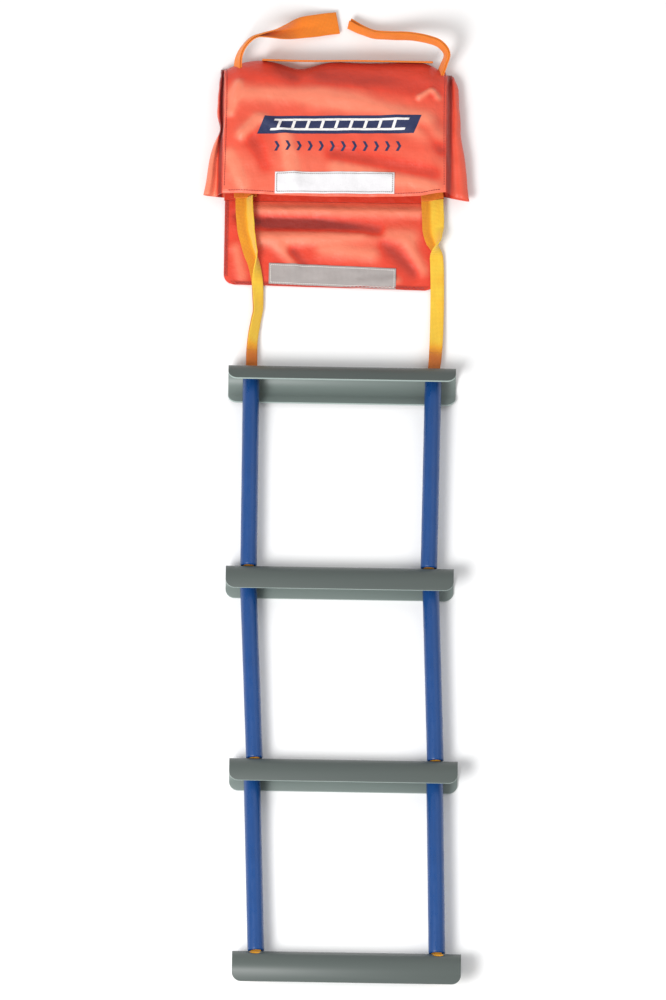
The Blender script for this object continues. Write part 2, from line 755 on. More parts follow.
def strip_section(width, fold, bend, uneven=0.0):
    """Middle line of a strip's cross-section when it is folded lengthwise: 0 flat, 1 closed.

    Returns points from one edge to the other, and their distances across the strip. The fold
    line lies off the middle by the uneven share of the width.
    """
    half_turn = fold * math.pi / 2
    steps = 10
    legs = []
    for share in (0.5 - uneven, 0.5 + uneven):
        x = y = previous = 0.0
        leg = []
        for i in range(1, steps + 1):
            # Steps are close together round the bend and long on the leg.
            if i <= 5:
                reach = bend * i / 5
            else:
                reach = bend + (width * share - bend) * (i - 5) / (steps - 5)
            heading = half_turn * min(1.0, (reach + previous) / 2 / bend)
            x += (reach - previous) * math.cos(heading)
            y += (reach - previous) * math.sin(heading)
            leg.append((x, y, reach))
            previous = reach
        legs.append(leg)
    points = [(-px, py, -s) for px, py, s in reversed(legs[0])] + [(0.0, 0.0, 0.0)] + legs[1]
    mean_x = (min(point[0] for point in points) + max(point[0] for point in points)) / 2
    mean_y = (min(point[1] for point in points) + max(point[1] for point in points)) / 2
    return [(px - mean_x, py - mean_y, s) for px, py, s in points]


def lay_strip(name, route, width, folds=(0, 0), rolls=(0, 0), steps=60, thickness=None,
              waviness=0.0, uneven=0.0, rests=None, tone=None):
    """Webbing along a route, folded lengthwise and rolled by amounts that change along it.

    At fold 0 the strip lies flat; at fold 1 its halves lie on each other. Rolls are in degrees.
    Where rests is given, the strip's lowest line stays that far below the route.
    """
    thickness = thickness or sizes().web_thickness
    bend = max(1.15 * thickness, 1.8 * MM)
    points, length = curve_points([from_bag(point) for point in route], steps)
    up = Vector((0, 0, 1))
    sections = []
    for i, point in enumerate(points):
        along = i / steps
        tangent = (points[min(i + 1, steps)] - points[max(i - 1, 0)]).normalized()
        across = up.cross(tangent).normalized()
        roll = Matrix.Rotation(math.radians(blended(rolls, along)), 3, tangent)
        outward = roll @ tangent.cross(across)
        across = roll @ across
        wave = waviness * noise.noise(Vector((along * length / 0.02, 3.7, len(name))))
        section = [across * (px + wave) + outward * py
                   for px, py, _ in strip_section(width, blended(folds, along), bend, uneven)]
        lift = 0.0 if rests is None else -rests - min(offset.z for offset in section)
        sections.append([point + offset + up * lift for offset in section])
    reaches = [s for _, _, s in strip_section(width, 0.5, bend, uneven)]
    columns = len(reaches) - 1

    def place(u, v):
        return sections[round(v * steps)][round(u * columns)]

    strip = shaped_grid(name, columns, steps, place, (width, length))
    layer = strip.data.uv_layers["UVMap"]
    for loop in strip.data.loops:
        u, v = layer.data[loop.index].uv
        layer.data[loop.index].uv = (reaches[round(u / width * columns)], v)
    if tone:
        spots = {}
        for loop in strip.data.loops:
            u, v = layer.data[loop.index].uv
            spots[loop.vertex_index] = (u / width * 2, v / length)
        set_tone(strip, lambda vertex: tone(*spots[vertex.index]))
    apply_modifier(strip, "SOLIDIFY", thickness=thickness, offset=0)
    apply_modifier(strip, "BEVEL", width=thickness * 0.22, segments=2, limit_method="ANGLE",
                   angle_limit=math.radians(60))
    smooth(strip, 50)
    return strip, points, length


def stitch_run(name, points, body, finish, spacing=None, lean=0.0, width=0.0005, fill=0.68,
               slot="webbing"):
    """A run of stitches along a line: one is modelled, then copied to each place and joined."""
    spacing = spacing or sizes().stitch_spacing
    reach = sum((after - before).length for before, after in zip(points, points[1:]))
    even, _ = curve_points(points, max(2, int(reach / spacing)))
    bpy.ops.object.select_all(action="DESELECT")
    bpy.ops.mesh.primitive_cylinder_add(
        vertices=6, radius=width, depth=spacing * fill, rotation=(0, math.pi / 2, 0))
    stitch = new_piece(name + "_one")
    apply_place(stitch)
    select_where(stitch, lambda face: abs(face.normal.x) > 0.9)
    bpy.ops.mesh.inset(thickness=width * 0.45)
    bpy.ops.transform.resize(value=(1.12, 1, 1))
    to_object_mode()
    places = []
    up = Vector((0, 0, 1))
    for i, (before, after) in enumerate(zip(even, even[1:])):
        ahead = (after - before).normalized()
        side = up.cross(ahead).normalized()
        turned = Matrix((ahead, side, ahead.cross(side))).transposed().to_4x4()
        swing = Matrix.Rotation(math.radians(lean * (1 if i % 2 else -1)), 4, "Z")
        places.append(Matrix.Translation((before + after) / 2) @ turned @ swing)
    run = joined_copies(stitch, name, places)
    discard(stitch)
    smooth(run, 60)
    return finish_piece(run, body, slot, finish=finish)


class LADDER_OT_rungs(Operator):
    """Model one channel rung and lay four of them in their places."""

    bl_idname = "ladder.rungs"
    bl_label = "Rungs"

    def execute(self, context):
        size = sizes()
        bpy.ops.object.select_all(action="DESELECT")
        bpy.ops.mesh.primitive_circle_add(
            vertices=size.arc_steps, radius=size.rung_radius, rotation=(0, math.pi / 2, 0),
            location=(-size.rung_length / 2, 0, 0))
        rung = new_piece("rung_model")
        apply_place(rung)

        # Keep the half of the circle towards +Y, then draw its two ends down into flanges.
        select_where(rung, lambda vertex: vertex.co.y < -1e-5, "VERT")
        bpy.ops.mesh.delete(type="VERT")
        to_object_mode()
        select_where(rung, lambda vertex: vertex.co.y < 1e-5, "VERT")
        bpy.ops.mesh.extrude_region_move(TRANSFORM_OT_translate={"value": (0, -size.flange_depth, 0)})
        bpy.ops.mesh.select_all(action="SELECT")
        bpy.ops.mesh.extrude_region_move(TRANSFORM_OT_translate={"value": (size.rung_length, 0, 0)})
        to_object_mode()

        corner_y = -size.flange_depth + 1e-5
        select_where(rung, lambda vertex: vertex.co.y < corner_y, "VERT")
        bpy.ops.mesh.bevel(offset=size.flange_corner, segments=8, profile=0.5, affect="VERTICES")
        to_object_mode()
        face_outwards(rung, (0, 1, 0))

        # The UV map runs along the rung and round its section, in metres.
        radius = size.rung_radius
        layer = rung.data.uv_layers.new(name="UVMap")
        for loop in rung.data.loops:
            place = rung.data.vertices[loop.vertex_index].co
            if place.y > 0:
                around = math.atan2(place.z, place.y) * radius
            else:
                around = math.copysign(radius * math.pi / 2 - place.y, place.z)
            layer.data[loop.index].uv = (place.x, around)
        rung.data.materials.append(finish_of("rung"))
        rung.data.materials.append(finish_of("cut"))
        rung.data.materials.append(finish_of("rung_inside"))
        apply_modifier(rung, "SOLIDIFY", thickness=size.rung_wall, offset=-1, material_offset=2,
                       material_offset_rim=1)

        for side in SIDES.values():
            bpy.ops.object.select_all(action="DESELECT")
            bpy.ops.mesh.primitive_cylinder_add(
                vertices=40, radius=size.hole_radius, depth=size.rung_radius,
                rotation=(math.pi / 2, 0, 0),
                location=(side * size.hole_spacing / 2, size.rung_radius, 0))
            drill = new_piece("drill")
            apply_place(drill)
            drill.data.materials.append(finish_of("cut"))
            apply_modifier(rung, "BOOLEAN", operation="DIFFERENCE", object=drill, solver="EXACT")
            discard(drill)
        apply_modifier(rung, "BEVEL", width=0.45 * MM, segments=2, limit_method="ANGLE",
                       angle_limit=math.radians(50))
        smooth(rung, 30)

        for number in (1, 2, 3, 4):
            copy = copy_to(rung, f"rung_{number}_channel", rung_place(number))
            finish_piece(copy, f"rung_{number}", "rung_plastic", f"rung_{number}")
        discard(rung)
        return {"FINISHED"}


class LADDER_OT_tubes(Operator):
    """Model one spacer tube and put two in each bay."""

    bl_idname = "ladder.tubes"
    bl_label = "Spacer tubes"

    def execute(self, context):
        size = sizes()
        bpy.ops.object.select_all(action="DESELECT")
        bpy.ops.mesh.primitive_cylinder_add(
            vertices=56, radius=size.tube_radius, depth=size.tube_length, end_fill_type="NOTHING",
            rotation=(math.pi / 2, 0, 0), location=(0, size.tube_length / 2, 0))
        tube = new_piece("tube_model")
        apply_place(tube)
        layer = tube.data.uv_layers["UVMap"]
        for polygon in tube.data.polygons:
            facing = math.atan2(polygon.center.x, polygon.center.z)
            for index in polygon.loop_indices:
                place = tube.data.vertices[tube.data.loops[index].vertex_index].co
                around = math.atan2(place.x, place.z)
                if around - facing > math.pi:
                    around -= 2 * math.pi
                if facing - around > math.pi:
                    around += 2 * math.pi
                layer.data[index].uv = (around * size.tube_radius, place.y)
        apply_modifier(tube, "SOLIDIFY", thickness=size.tube_wall, offset=-1)

        def outer_edge(edge, at):
            ends = [tube.data.vertices[index].co for index in edge.vertices]
            return all(abs(end.y - at) < 1e-5 and math.hypot(end.x, end.z) > size.tube_radius - 1e-4
                       for end in ends)

        # The lower end is rounded over; the upper end only has its sharp edge taken off.
        select_where(tube, lambda edge: outer_edge(edge, 0.0), "EDGE")
        bpy.ops.mesh.bevel(offset=1.9 * MM, segments=5, profile=0.5, affect="EDGES")
        to_object_mode()
        select_where(tube, lambda edge: outer_edge(edge, size.tube_length), "EDGE")
        bpy.ops.mesh.bevel(offset=0.5 * MM, segments=2, profile=0.5, affect="EDGES")
        to_object_mode()
        tube.data.materials.append(finish_of("tube"))
        smooth(tube, 35)
        for bay in (1, 2, 3):
            for word, side in SIDES.items():
                copy = copy_to(tube, f"{word}_tube_{bay}_sleeve", tube_place(bay, side))
                finish_piece(copy, f"tubes_{bay}", "tube_plastic", f"{word}_tube_{bay}")
        discard(tube)
        return {"FINISHED"}


def folded_web(length):
    """Webbing folded in half lengthwise, along Y from y = 0, as a loose model to copy."""
    route = [(Vector((0, length * part, 0)) - MOUTH_MIDDLE) / MM for part in (0, 0.33, 0.67, 1)]
    strip, _, _ = lay_strip("folded_web", route, 0.0285, folds=(1, 1), rolls=(90, 90),
                            steps=max(3, int(length / 0.008)))
    strip.data.materials.append(finish_of("webbing"))
    return strip


class LADDER_OT_inner_webbing(Operator):
    """Fold the webbing that runs through the tubes and the rungs' holes."""

    bl_idname = "ladder.inner_webbing"
    bl_label = "Webbing in tubes and rungs"

    def execute(self, context):
        long_web = folded_web(sizes().tube_length)
        for bay in (1, 2, 3):
            for word, side in SIDES.items():
                copy = copy_to(long_web, f"{word}_inner_web_{bay}", tube_place(bay, side))
                finish_piece(copy, f"tubes_{bay}", "webbing", f"{word}_webbing_{bay}")
        discard(long_web)
        for number, start in enumerate(WEB_IN_RUNG_FROM, 1):
            short_web = folded_web((WEB_IN_RUNG_TO - start) * MM)
            for word, side in SIDES.items():
                place = rung_place(number, side) @ Matrix.Translation((0, start * MM, 0))
                copy = copy_to(short_web, f"{word}_hole_web_{number}", place)
                finish_piece(copy, f"rung_{number}", "webbing", f"{word}_webbing_in_rung_{number}")
            discard(short_web)
        return {"FINISHED"}


# The washer's middle and the sewn fold's ends, from the half-round's centre, and half its depth.
WASHER_MIDDLE = 15.8
FOLD_TOP = 13.6
FOLD_FOOT = 1.9
FOLD_HALF_DEPTH = 4.4
FOLD_WIDTH = 21.0
FOLD_LAYERS = 4


class LADDER_OT_end_stops(Operator):
    """Model the washer and the sewn fold that stop the webbing under the bottom rung."""

    bl_idname = "ladder.end_stops"
    bl_label = "End stops"

    def execute(self, context):
        # Washer: a disc with an oblong slot, its rims rounded.
        bpy.ops.object.select_all(action="DESELECT")
        bpy.ops.mesh.primitive_cylinder_add(
            vertices=48, radius=13 * MM, depth=2 * MM, rotation=(math.pi / 2, 0, 0),
            location=(0, WASHER_MIDDLE * MM, 0))
        washer = new_piece("washer_model")
        apply_place(washer)
        bpy.ops.object.select_all(action="DESELECT")
        bpy.ops.mesh.primitive_cube_add(
            size=1, scale=(16.5 * MM, 12 * MM, 6.5 * MM), location=(0, WASHER_MIDDLE * MM, 0))
        slot = new_piece("washer_slot")
        apply_place(slot)
        apply_modifier(slot, "BEVEL", width=1.6 * MM, segments=3)
        apply_modifier(washer, "BOOLEAN", operation="DIFFERENCE", object=slot, solver="EXACT")
        discard(slot)
        apply_modifier(washer, "BEVEL", width=0.4 * MM, segments=2, limit_method="ANGLE",
                       angle_limit=math.radians(50))
        smooth(washer, 35)

        # Sewn fold: the strip's end rolled back on itself in three layers.
        fold = self.sewn_fold()
        for word, side in SIDES.items():
            place = rung_place(4, side)
            ring = copy_to(washer, f"{word}_washer_ring", place)
            finish_piece(ring, "rung_4", "washer_nylon", f"{word}_stop_washer", finish="washer")
            roll = copy_to(fold, f"{word}_sewn_fold", place)
            finish_piece(roll, "rung_4", "webbing", f"{word}_end_stop", finish="webbing")
            for row, height in enumerate((4.5, 8.5), 1):
                line = [place @ (Vector((across, height, 6.15)) * MM) for across in (-9.5, 0, 9.5)]
                stitch_run(f"{word}_fold_stitches_{row}", line, "rung_4", "orange_thread", 2.6 * MM)
        discard(washer)
        discard(fold)
        return {"FINISHED"}

    def sewn_fold(self):
        """Webbing wound to and fro in layers, drawn as a long thin S in section."""
        step = 2 * FOLD_HALF_DEPTH / (FOLD_LAYERS - 1)
        line = []
        for layer in range(FOLD_LAYERS):
            height = -FOLD_HALF_DEPTH + step * layer
            ends = [FOLD_TOP - 1.4, FOLD_FOOT + 1.4]
            outward = -1
            if layer % 2:
                ends.reverse()
                outward = 1
            for part in range(5):
                line.append((ends[0] + (ends[1] - ends[0]) * part / 4, height))
            if layer < FOLD_LAYERS - 1:
                for turn in (45, 90, 135):
                    angle = math.radians(turn)
                    line.append((ends[1] + outward * math.sin(angle) * step / 2,
                                 height + (1 - math.cos(angle)) * step / 2))
        line.reverse()

        def place(u, v):
            along, height = line[round(v * (len(line) - 1))]
            return Vector(((u - 0.5) * FOLD_WIDTH, along, height)) * MM

        fold = shaped_grid("fold_model", 8, len(line) - 1, place, (FOLD_WIDTH * MM, 0.06))
        apply_modifier(fold, "SOLIDIFY", thickness=2.2 * MM, offset=0)
        apply_modifier(fold, "BEVEL", width=0.4 * MM, segments=2, limit_method="ANGLE",
                       angle_limit=math.radians(60))
        smooth(fold, 50)
        return fold


def cut_off(strip, name, y):
    """Cut the strip across; what lies nearer the rungs becomes a piece of its own."""
    end = copy_to(strip, name, Matrix.Identity(4))
    for piece in (strip, end):
        select_only(piece)
        bpy.ops.object.mode_set(mode="EDIT")
        bpy.ops.mesh.select_all(action="SELECT")
        bpy.ops.mesh.bisect(plane_co=(0, y, 0), plane_no=(0, 1, 0), use_fill=True,
                            clear_inner=piece is strip, clear_outer=piece is end)
        to_object_mode()
        if not piece.data.vertices:
            raise RuntimeError(f"cutting {piece.name} left nothing of it")
    return end


def strap_tone(across, along):
    """One half of a strap is worn to a deeper orange, and so is its end at the rung."""
    worn_end = smooth_step((along - 0.8) / 0.12)
    streak = 0.25 * noise.noise(Vector((across * 2, along * 14, 0)))
    yellow = 1.1 * smooth_step((across + 0.3) / 0.5) - 0.4 + streak
    return yellow * (1 - worn_end) - worn_end


class LADDER_OT_straps(Operator):
    """Lay the webbing through the bag and down to the first rung."""

    bl_idname = "ladder.straps"
    bl_label = "Straps"

    def execute(self, context):
        width = sizes().web_width
        shapes = {
            "left": {"folds": (0.35, 0.33, 0.45, 0.95, 1, 1, 1), "rolls": (30, 30, 44, 86, 50, 58, 88)},
            "right": {"folds": (0.08, 0.1, 0.14, 0.4, 1, 1, 1, 1, 1, 1, 1, 1, 1),
                      "rolls": (7, 9, 12, 34, 90, 90, 88, 92, 90, 84, 78, 68, 60), "uneven": 0.1},
        }
        for word in SIDES:
            strap, _, _ = lay_strip(f"{word}_strap_web", STRAP_TO_RUNG[word], width, steps=96,
                                    waviness=0.8 * MM, rests=STRAP_REST * MM, tone=strap_tone,
                                    **shapes[word])
            end = cut_off(strap, f"{word}_strap_end_web", from_bag((0, STRAP_CUT, 0)).y)
            at_mouth = ("straps", *(from_bag(point) for point in MOUTH_BEND))
            at_rung = ("rung_1", *(from_bag(point) for point in RUNG_BEND))
            finish_piece(strap, "bag", "webbing", f"{word}_strap", finish="webbing", bends=at_mouth)
            finish_piece(end, "straps", "webbing", finish="webbing", bends=at_rung)
            inner, _, _ = lay_strip(f"{word}_strap_inside", STRAP_IN_BAG[word], width,
                                    folds=(0.05, 0.2, 0.9), rolls=(2, 10, 80), steps=30)
            finish_piece(inner, "bag", "webbing", f"{word}_strap_in_bag", finish="webbing_shaded")
        top, _, _ = lay_strip("top_strap_web", TOP_STRAP, width, folds=(0.03, 0.0, 0.03),
                              rolls=(106, 106, 106), steps=40, thickness=2.2 * MM)
        finish_piece(top, "bag", "webbing", "top_strap", finish="webbing_shaded")
        return {"FINISHED"}


class LADDER_OT_tails(Operator):
    """Lay the two loose webbing tails over the bag's top corners."""

    bl_idname = "ladder.tails"
    bl_label = "Loose tails"

    def execute(self, context):
        width = sizes().web_width
        shapes = {
            "left": {"folds": (1, 1, 1, 1, 0.8, 0.5, 0.24, 0.06, 0),
                     "rolls": (30, 36, 22, 20, 34, 36, 18, 5, 0)},
            "right": {"folds": (1, 1, 1, 1, 1, 1, 1, 1, 0.9),
                      "rolls": (30, 36, 20, 18, 20, 22, 20, 26, 40)},
        }
        # The left tail opens out flat; the right one stays folded in two.
        for word in SIDES:
            tail, points, length = lay_strip(f"{word}_tail_web", TAILS[word], width, steps=80,
                                             waviness=0.6 * MM, **shapes[word])
            finish_piece(tail, "bag", "webbing", f"{word}_tail", finish="webbing_tail")
            tuple(points[0])
            [tuple(point) for point in points]
        return {"FINISHED"}


# ---------- bag ----------

def top_edge(x):
    """How far up the front sheet's top lies at this place across, in millimetres."""
    height = sizes().bag_height / MM + 5.5
    sag = 11 * math.exp(-((x + 48) / 27) ** 2) + 1.5 * math.exp(-((x - 40) / 30) ** 2)
    left_corner = 14 * max(0.0, (-x - 98) / 49) ** 2
    right_corner = 17 * max(0.0, (x - 113) / 34) ** 1.6
    return height - sag - left_corner - right_corner


def mouth_edge(x):
    """Where the front sheet's lower edge lies: it hangs down in the middle and lifts at the right."""
    half = sizes().bag_width / MM / 2
    return -2.2 + 4.2 * (x / half) ** 2 + 6 * smooth_step((x - 108) / 40)


def front_point(u, v, lift=0.0):
    """A point of the bag's front sheet, from its mouth at v = 0 to its top at v = 1."""
    size = sizes()
    half = size.bag_width / MM / 2
    height = size.bag_height / MM
    x = (2 * u - 1) * half
    nominal = height * math.sin(math.pi / 2 * v)
    straight = height - TOP_ROUND
    if nominal <= straight:
        z = MOUTH_DEPTH + BAG_PUFF * math.sin(math.pi * nominal / straight)
    else:
        around = min(1.0, (nominal - straight) / TOP_ROUND)
        z = TOP_END + (MOUTH_DEPTH - TOP_END) * math.sqrt(1 - around ** 2)
    near_side = smooth_step((abs(x) - (half - 34)) / 34)
    near_top = smooth_step((height - nominal) / 40)
    z -= 6 * near_side ** 2 * near_top
    y = mouth_edge(x) + (top_edge(x) - mouth_edge(x)) * nominal / height
    # The mouth's hem turns under.
    z -= 2.5 * (1 - smooth_step((nominal + 1) / 5))
    free = smooth_step((height - nominal) / 30)
    creases = crumple(x, y * 1.6, 30, 1.5) + crumple(x * 1.5, y, 13, 0.6, 5)
    z += free * (fold_height(FRONT_FOLDS, x, y) + creases)
    # A slight bulge carries the side edges in and out.
    x *= 1 - 0.012 * math.sin(math.pi * v) * near_side
    return from_bag((x, y, z + lift))


def gusset_point(side, u, v):
    """A point of a side sheet, from the front's edge at u = 0 to the back's edge at u = 1."""
    half = sizes().bag_width / MM / 2
    edge = front_point(0 if side < 0 else 1, v)
    edge_y = (edge.y - MOUTH_MIDDLE.y) / MM
    edge_z = edge.z / MM
    edge_x = abs(edge.x - MOUTH_MIDDLE.x) / MM
    back_x = half - 3
    ridge = 1 - abs(2 * u - 1) ** 1.5
    bulge = blended(GUSSET_FLARES[side], v) * ridge
    if side < 0:
        # A pinch half-way up draws the fold in.
        bulge *= 1 - 0.45 * math.exp(-((v - 0.34) / 0.07) ** 2)
    x = edge_x + (back_x - edge_x) * u + bulge + crumple(u * 40, v * 150, 18, 1.2, 7 + side)
    z = edge_z + (1.0 - edge_z) * u
    # Beside the front's edge the sheet drops into a valley before it stands out.
    z -= GUSSET_VALLEYS[side] * math.exp(-((u - 0.15) / 0.09) ** 2) * smooth_step((edge_z - 8) / 20)
    y = edge_y * (1 - u) + u * min(edge_y + 2, sizes().bag_height / MM - 2)
    y -= (0 if side < 0 else 9) * ridge * smooth_step(1 - v * 6)
    return from_bag((side * x, y, z))


def front_tone(vertex):
    """Hollows are darker and ridges lighter, the top is darker and the part at the mouth lighter."""
    place = (vertex.co - MOUTH_MIDDLE) / MM
    top_shade = 0.25 * smooth_step((place.y - 142 - 10 * place.x / 147) / 14)
    low_light = 0.3 * smooth_step((70 - place.y) / 30)
    return fold_height(FRONT_FOLDS, place.x, place.y) / FRONT_TONE_DEPTH + 0.2 - top_shade + low_light


def gusset_tone(vertex, side):
    """Dark in the valley beside the front, pale where the sheet stands out."""
    paleness = GUSSET_PALENESS[side]
    place = (vertex.co - MOUTH_MIDDLE) / MM
    out = side * place.x - sizes().bag_width / MM / 2
    return paleness - (1.7 + paleness) * math.exp(-((out - 3.5) / 3.5) ** 2)


class LADDER_OT_bag(Operator):
    """Sew the open bag: front, folded sides and back."""

    bl_idname = "ladder.bag"
    bl_label = "Stowage bag"

    def execute(self, context):
        size = sizes()
        # The round top adds about a tenth to the length of cloth.
        flat = (size.bag_width, size.bag_height * 1.1)
        front = shaped_grid("bag_front_sheet", 150, 110, front_point, flat)
        face_outwards(front, (0, 0, 1))
        set_tone(front, front_tone)
        apply_modifier(front, "SOLIDIFY", thickness=CLOTH_THICKNESS * MM, offset=-1)
        smooth(front, 60)
        finish_piece(front, "bag", "bag_nylon", "bag_front_panel", finish="nylon")

        for word, side in SIDES.items():
            gusset = shaped_grid(f"bag_{word}_side_sheet", 36, 90,
                                 lambda u, v, s=side: gusset_point(s, u, v), (0.06, size.bag_height))
            face_outwards(gusset, (side, 0, 0))
            set_tone(gusset, lambda vertex, s=side: gusset_tone(vertex, s))
            apply_modifier(gusset, "SOLIDIFY", thickness=CLOTH_THICKNESS * MM, offset=-1)
            smooth(gusset, 60)
            finish_piece(gusset, "bag", "bag_nylon", f"bag_{word}_gusset", finish="nylon")

        def back_place(u, v):
            x = (2 * u - 1) * BACK_HALF_WIDTH
            y = v * (size.bag_height / MM - BACK_SHORTER)
            rumple = crumple(x, y, 22, 0.35, 11)
            return from_bag((x, y, 1.7 + rumple))

        back = shaped_grid("bag_back_sheet", 60, 40, back_place, (0.29, 0.186))
        face_outwards(back, (0, 0, 1))
        apply_modifier(back, "SOLIDIFY", thickness=CLOTH_THICKNESS * MM, offset=-1)
        smooth(back, 60)
        finish_piece(back, "bag", "bag_nylon", "bag_back_panel", finish="nylon_inside")
        self.seams()
        return {"FINISHED"}

    def seams(self):
        """Stitching beside the side edges and along the mouth's hem."""
        for word, side in SIDES.items():
            u = 0.007 if side < 0 else 0.993
            line = [front_point(u, v / 30, 0.25) for v in range(1, 30)]
            stitch_run(f"{word}_edge_stitches", line, "bag", "red_thread", slot="bag_nylon")
        line = [front_point(u / 40, 0.012, 0.3) for u in range(1, 40)]
        stitch_run("mouth_stitches", line, "bag", "red_thread", slot="bag_nylon")


def flap_height(x, y):
    """Height of the flap's upper face, lower where the straps lie on it."""
    calm = 1 - 0.75 * math.exp(-((x + 113) / 12) ** 2) - 0.75 * math.exp(-((x - 133) / 12) ** 2)
    z = fold_height(FLAP_FOLDS, x, y) + crumple(x, y, 26, 1.3, 2) + crumple(x, y * 1.4, 11, 0.35, 9)
    # A hollow bottoms out softly on the ground.
    z = z if z > 0 else 1.2 * math.tanh(z / 1.6)
    return 1.0 + max(0.0, 1.3 + z * calm * smooth_step(-y / 12))


def flap_point(u, v, lift=0.0):
    """A point of the flap, from its free edge at v = 0 to the mouth at v = 1."""
    size = sizes()
    half = size.flap_width / MM / 2
    length = size.flap_length / MM
    # Rounded lower corners: the side edges draw in over the corner's radius.
    y = -0.6 - (1 - v) * length
    from_edge = min(v * length, FLAP_CORNER)
    inset = FLAP_CORNER - math.sqrt(FLAP_CORNER ** 2 - (FLAP_CORNER - from_edge) ** 2)
    x = (2 * u - 1) * (half - inset) - 4
    skew = (1 - 4.2 * u) * (1 - v)
    return from_bag((x, y + skew, flap_height(x, y) + lift))


def flap_tone(vertex):
    """Hollows are darker and ridges lighter."""
    place = (vertex.co - MOUTH_MIDDLE) / MM
    return fold_height(FLAP_FOLDS, place.x, place.y) / FLAP_TONE_DEPTH


class LADDER_OT_flap(Operator):
    """Lay out the closing flap with its hem."""

    bl_idname = "ladder.flap"
    bl_label = "Closing flap"

    def execute(self, context):
        size = sizes()
        flap = shaped_grid("flap_sheet", 140, 64, flap_point, (size.flap_width, size.flap_length))
        face_outwards(flap, (0, 0, 1))
        set_tone(flap, flap_tone)
        apply_modifier(flap, "SOLIDIFY", thickness=0.9 * MM, offset=-1)
        smooth(flap, 60)
        finish_piece(flap, "flap", "bag_nylon", "flap", finish="nylon")

        # Hem: a narrow turned band round the three free edges, with a zigzag stitch in it.
        band = HEM_WIDTH / (size.flap_width / MM)
        rise = HEM_WIDTH / (size.flap_length / MM)
        edges = {
            "left": lambda across, along: flap_point(band * across, 1 - along * 0.9, 0.55),
            "right": lambda across, along: flap_point(1 - band * across, 1 - along * 0.9, 0.55),
            "lower": lambda across, along: flap_point(0.02 + 0.96 * along, rise * across, 0.55),
        }
        for word, edge in edges.items():
            hem = shaped_grid(f"flap_{word}_hem", 4, 90, lambda u, v, e=edge: e(u, v), (0.005, 0.2))
            face_outwards(hem, (0, 0, 1))
            apply_modifier(hem, "SOLIDIFY", thickness=0.5 * MM, offset=0)
            smooth(hem, 50)
            finish_piece(hem, "flap", "bag_nylon", finish="nylon_hem")
            line = [edge(0.5, i / 60) + Vector((0, 0, 0.4 * MM)) for i in range(1, 60)]
            stitch_run(f"flap_{word}_zigzag", line, "flap", "red_thread", 2.6 * MM, lean=38,
                       width=0.7 * MM, fill=1.1, slot="bag_nylon")
        return {"FINISHED"}


def on_front(x, y, lift):
    """A point of the front sheet by its place across and up from the mouth, in millimetres."""
    half = sizes().bag_width / MM / 2
    nominal = (y - mouth_edge(x)) / (top_edge(x) - mouth_edge(x))
    v = math.asin(min(1.0, max(0.0, nominal))) / (math.pi / 2)
    return front_point((x / half + 1) / 2, v, lift)


def on_flap(x, y, lift):
    """A point of the flap, in the same way."""
    return from_bag((x, y, flap_height(x, y) + lift))


class LADDER_OT_fasteners(Operator):
    """Sew on the loop strip at the bag's mouth and the hook strip near the flap's edge."""

    bl_idname = "ladder.fasteners"
    bl_label = "Hook and loop strips"

    def execute(self, context):
        self.strip("loop", "bag", "grey_thread", on_front, *LOOP_STRIP)
        self.strip("hook", "flap", "pale_thread", on_flap, *HOOK_STRIP)
        return {"FINISHED"}

    def strip(self, word, body, stitching, surface, across, along, rise):
        width = across[1] - across[0]
        height = along[1] - along[0]

        def place(u, v, lift=1.6):
            x = across[0] + u * width
            y = along[0] + v * height + rise * (u - 0.5) * width
            return surface(x, y, lift)

        tape = shaped_grid(f"{word}_tape", 110, 20, place, (width * MM, height * MM))
        face_outwards(tape, (0, 0, 1))
        apply_modifier(tape, "SOLIDIFY", thickness=1.2 * MM, offset=-1)
        apply_modifier(tape, "BEVEL", width=0.35 * MM, segments=2, limit_method="ANGLE",
                       angle_limit=math.radians(60))
        smooth(tape, 50)
        slot = f"{word}_tape"
        finish_piece(tape, body, slot, f"{word}_strip", finish=word)
        margin_u = 2.4 / width
        margin_v = 2.4 / height
        corners = ((margin_u, margin_v), (1 - margin_u, margin_v), (1 - margin_u, 1 - margin_v),
                   (margin_u, 1 - margin_v))
        for number, (start, end) in enumerate(zip(corners, corners[1:] + corners[:1]), 1):
            line = []
            for i in range(21):
                u = start[0] + (end[0] - start[0]) * i / 20
                v = start[1] + (end[1] - start[1]) * i / 20
                line.append(place(u, v, 1.85))
            stitch_run(f"{word}_border_stitches_{number}", line, body, stitching, 2.6 * MM,
                       width=0.6 * MM, slot=slot)


